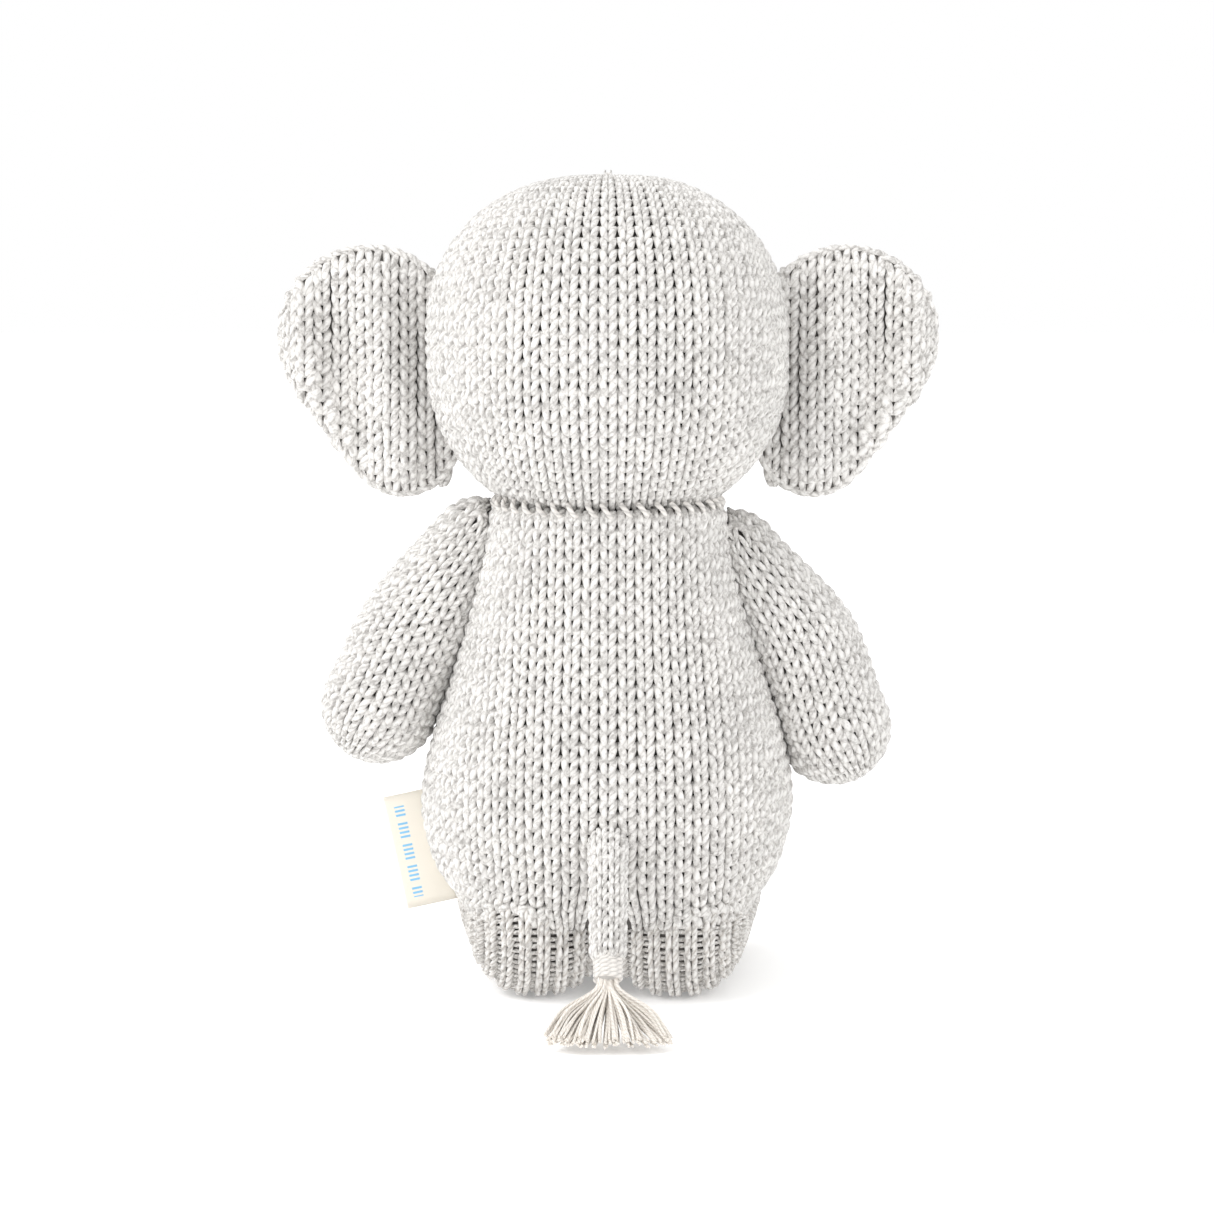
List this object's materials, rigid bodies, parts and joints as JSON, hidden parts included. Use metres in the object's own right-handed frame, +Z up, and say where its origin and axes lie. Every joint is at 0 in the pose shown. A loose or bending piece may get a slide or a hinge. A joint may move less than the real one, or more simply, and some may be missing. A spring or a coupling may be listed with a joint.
{
  "type": "knitted stuffed elephant",
  "caption": "Seated hand-knit elephant with stuffed head, ears, trunk, arms and legs, a corded tail ending in a tassel, and a folded side label.",
  "frame": {"origin": "on the surface the toy sits on, under the middle of its overall bounding box", "axes": "+Z up through the head, the face and feet towards -Y, the back and tail towards +Y, the toy's own left arm towards +X"},
  "size_m": [0.1976, 0.1903, 0.2466],
  "materials": {
    "knit_cotton": "matte plied cotton, stockinette",
    "filling": "loose fibre",
    "sewing_yarn": "matte plied cotton",
    "tassel_yarn": "matte combed-out cotton strands",
    "binding_thread": "matte wound cotton",
    "eye_thread": "embroidered dark brown thread",
    "label_tape": "smooth woven cotton tape"
  },
  "bodies": {
    "torso": {"torso_cover": "knit_cotton", "torso_stuffing": "filling", "tail_seam_yarn": "sewing_yarn"},
    "neck": {"neck_gather_yarn": "sewing_yarn"},
    "head": {"head_cover": "knit_cotton", "head_stuffing": "filling", "crown_gather_yarn": "sewing_yarn", "left_eye": "eye_thread", "right_eye": "eye_thread", "trunk_seam_yarn": "sewing_yarn"},
    "left_ear": {"left_ear_back": "knit_cotton", "left_ear_front": "knit_cotton", "left_ear_wadding": "filling"},
    "right_ear": {"right_ear_back": "knit_cotton", "right_ear_front": "knit_cotton", "right_ear_wadding": "filling"},
    "trunk": {"trunk_cover": "knit_cotton", "trunk_stuffing": "filling"},
    "left_arm": {"left_arm_cover": "knit_cotton", "left_arm_stuffing": "filling", "left_arm_seam_yarn": "sewing_yarn"},
    "right_arm": {"right_arm_cover": "knit_cotton", "right_arm_stuffing": "filling", "right_arm_seam_yarn": "sewing_yarn"},
    "left_leg": {"left_leg_cover": "knit_cotton", "left_leg_stuffing": "filling", "left_sole_gather_yarn": "sewing_yarn"},
    "right_leg": {"right_leg_cover": "knit_cotton", "right_leg_stuffing": "filling", "right_sole_gather_yarn": "sewing_yarn"},
    "tail": {"tail_cord": "knit_cotton", "tail_binding": "binding_thread"},
    "tassel": {"tail_tassel": "tassel_yarn"},
    "label": {"side_label": "label_tape"}
  },
  "joints": [
    {"name": "head_turn", "type": "hinge", "parent": "torso", "child": "neck", "pos_m": [0, -0.0016, 0.1467], "axis": [0, 0, 1], "range_deg": [-30, 30], "stiffness_Nm_per_rad": 0.12},
    {"name": "head_nod", "type": "hinge", "parent": "neck", "child": "head", "pos_m": [0, -0.0016, 0.1925], "axis": [1, 0, 0], "range_deg": [-6, 6], "stiffness_Nm_per_rad": 0.5},
    {"name": "left_ear_flap", "type": "hinge", "parent": "head", "child": "left_ear", "pos_m": [0.0578, -0.0066, 0.186], "axis": [0, 0, 1], "range_deg": [-30, 30], "stiffness_Nm_per_rad": 0.02},
    {"name": "right_ear_flap", "type": "hinge", "parent": "head", "child": "right_ear", "pos_m": [-0.0578, -0.0066, 0.186], "axis": [0, 0, -1], "range_deg": [-30, 30], "stiffness_Nm_per_rad": 0.02},
    {"name": "trunk_swing", "type": "hinge", "parent": "head", "child": "trunk", "pos_m": [0, -0.0686, 0.184], "axis": [-1, 0, 0], "range_deg": [-10, 45], "stiffness_Nm_per_rad": 0.05},
    {"name": "left_arm_swing", "type": "hinge", "parent": "torso", "child": "left_arm", "pos_m": [0.0385, -0.0036, 0.1368], "axis": [-0.9816, 0, -0.1908], "range_deg": [-35, 75]},
    {"name": "right_arm_swing", "type": "hinge", "parent": "torso", "child": "right_arm", "pos_m": [-0.0385, -0.0036, 0.133], "axis": [-0.9816, 0, 0.1908], "range_deg": [-35, 75]},
    {"name": "left_leg_swing", "type": "hinge", "parent": "torso", "child": "left_leg", "pos_m": [0.0209, 0.0174, 0.0196], "axis": [1, 0, 0], "range_deg": [0, 75]},
    {"name": "right_leg_swing", "type": "hinge", "parent": "torso", "child": "right_leg", "pos_m": [-0.0209, 0.0174, 0.0196], "axis": [1, 0, 0], "range_deg": [0, 75]},
    {"name": "tail_swing", "type": "hinge", "parent": "torso", "child": "tail", "pos_m": [0, 0.0528, 0.0495], "axis": [1, 0, 0], "range_deg": [-15, 60], "stiffness_Nm_per_rad": 0.01},
    {"name": "tassel_lift", "type": "hinge", "parent": "tail", "child": "tassel", "pos_m": [0, 0.07301, 0.01228], "axis": [1, 0, 0], "range_deg": [-20, 45]},
    {"name": "label_flap", "type": "hinge", "parent": "torso", "child": "label", "pos_m": [0.0534, 0.0004, 0.041], "axis": [0.225, 0, 0.9744], "range_deg": [-35, 35], "stiffness_Nm_per_rad": 0.0005}
  ]
}
